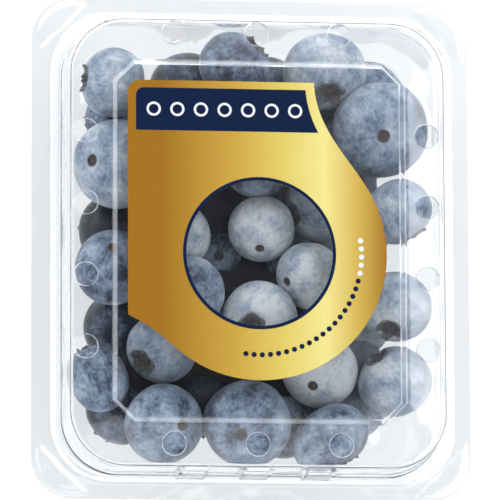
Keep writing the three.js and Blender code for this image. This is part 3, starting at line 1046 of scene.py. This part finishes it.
def make_core():
    """The smaller core between the berries, seen only in the gaps, where it stands in as painted shade
    for the deep heap.
    """
    rings = [
        ring(CORE, -6, CORE_LOW),
        ring(CORE, 0, CORE_LOW + 3),
        ring(CORE, 0, (CORE_LOW + CORE_HIGH) / 2),
        ring(CORE, 0, CORE_HIGH - 3),
        ring(CORE, -5, CORE_HIGH),
    ]
    rows = [ring_points(shape) for shape in split_long(rings, 2.5)]
    count = len(rows[0])
    points = []
    for row in rows:
        points.extend(point * (1 + 0.05 * noise.noise(point / 7)) for point in row)
    faces = [tuple(reversed(range(count))), tuple(range(len(points) - count, len(points)))]
    for level in range(len(rows) - 1):
        for step in range(count):
            a = level * count + step
            b = level * count + (step + 1) % count
            faces.append((a, b, b + count, a + count))
    core = new_object("heap_core", make_mesh("heap_core", points, faces), core_material(), "tray")


# Room, lamps and camera

def make_floor():
    signs = ((-1, -1), (1, -1), (1, 1), (-1, 1))
    corners = [(x * FLOOR_HALF, y * FLOOR_HALF, -FLOOR_DROP) for x, y in signs]
    mesh = make_mesh("floor", corners, [(0, 1, 2, 3)], False)
    floor = bpy.data.objects.new("floor", mesh)
    bpy.context.scene.collection.objects.link(floor)
    mesh.materials.append(floor_material())


def soft_lamp(name, width, height, radiance):
    data = bpy.data.lights.new(name, "AREA")
    data.shape = "RECTANGLE"
    data.size = width
    data.size_y = height
    data.energy = radiance * math.pi * width * height
    lamp = bpy.data.objects.new(name, data)
    bpy.context.scene.collection.objects.link(lamp)
    lamp.visible_camera = False
    return lamp


def panel_lamp(name, span_x, span_y, radiance):
    """A level soft lamp over the pack, between two places along X and two along Y."""
    lamp = soft_lamp(name, span_x[1] - span_x[0], span_y[1] - span_y[0], radiance)
    lamp.location = (sum(span_x) / 2, sum(span_y) / 2, LAMP_HEIGHT)


def wall_lamp(name, place, turn, width, height, radiance):
    """An upright soft lamp that faces the pack, standing on the floor at a place and turned about Z."""
    lamp = soft_lamp(name, width, height, radiance)
    lamp.location = (*place, height / 2)
    lamp.rotation_euler = (math.pi / 2, 0, turn)


def make_light():
    world = bpy.data.worlds.new("studio")
    bpy.context.scene.world = world
    world.use_nodes = True
    nodes, links = world.node_tree.nodes, world.node_tree.links
    background = nodes["Background"]
    split = nodes.new("ShaderNodeSeparateXYZ")
    links.new(nodes.new("ShaderNodeTexCoord").outputs["Generated"], split.inputs["Vector"])
    sideways = maths_node(nodes, links, "ADD", split.outputs["X"], split.outputs["Y"])
    lean = maths_node(nodes, links, "MULTIPLY", sideways, -0.35)
    overhead = maths_node(nodes, links, "ADD", split.outputs["Z"], lean)
    sky = ramp_node(nodes, links, overhead, [
        (0.00, (0.62, 0.65, 0.70)),
        (0.60, (0.60, 0.62, 0.66)),
        (0.80, (0.85, 0.88, 0.93)),
        (0.85, (0.38, 0.40, 0.44)),
        (0.89, (0.05, 0.05, 0.06)),
        (0.93, (0.008, 0.008, 0.012)),
    ])
    links.new(sky.outputs["Color"], background.inputs["Color"])
    panel_lamp("right_box", (0.215, 1.2), (-0.7, 1.1), 2.4)
    panel_lamp("back_box", (-0.8, 0.2), (0.36, 1.1), 2.7)
    panel_lamp("left_box", (-1.3, -0.3), (-0.8, 0.2), 1.4)
    panel_lamp("near_box", (-0.02, 0.2), (-0.08, 0.045), 0.9)
    panel_lamp("front_box", (-0.3, 0.2), (-1.1, -0.35), 1.4)
    wall_lamp("left_wall", (-1.2, 0), -math.pi / 2, 1.8, 0.55, 2.6)
    wall_lamp("back_wall", (-0.2, 1.2), math.pi, 1.6, 0.4, 3.5)
    wall_lamp("front_wall", (-0.4, -1.2), 0, 1.2, 0.6, 2.0)
    wall_lamp("left_front_wall", (-0.9, -0.95), -math.pi / 4, 0.6, 0.5, 2.6)
    wall_lamp("left_back_wall", (-0.95, 0.95), -3 * math.pi / 4, 0.5, 0.5, 2.6)


def make_camera():
    towards = Vector((-math.tan(VIEW_TILT_LEFT), -math.tan(VIEW_TILT_FRONT), 1)).normalized()
    target = Vector((0, 0, JOINT_HEIGHT * MM))
    data = bpy.data.cameras.new("camera")
    data.sensor_width = SENSOR
    data.lens = SENSOR * VIEW_DISTANCE / VIEW_WIDTH
    data.clip_start = 0.05
    data.clip_end = 20
    data.shift_x = VIEW_SHIFT
    data.shift_y = VIEW_SHIFT
    camera = bpy.data.objects.new("camera", data)
    bpy.context.scene.collection.objects.link(camera)
    camera.location = target + towards * VIEW_DISTANCE
    up = (Vector((0, 1, 0)) - towards * towards.y).normalized()
    right = up.cross(towards)
    turned = Matrix((right, up, towards)).transposed() @ Matrix.Rotation(VIEW_ROLL, 3, "Z")
    camera.rotation_euler = turned.to_euler()
    bpy.context.scene.camera = camera


film = film_material()
make_camera()
make_light()
make_floor()
make_tray(film)
make_lid(film)
make_label()
make_berries()
make_core()

scene = bpy.context.scene
scene.view_settings.view_transform = "Standard"
scene.cycles.use_denoising = True
scene.cycles.max_bounces = 24
scene.cycles.transmission_bounces = 20
scene.cycles.transparent_max_bounces = 24
scene.cycles.caustics_refractive = False
scene.cycles.caustics_reflective = False
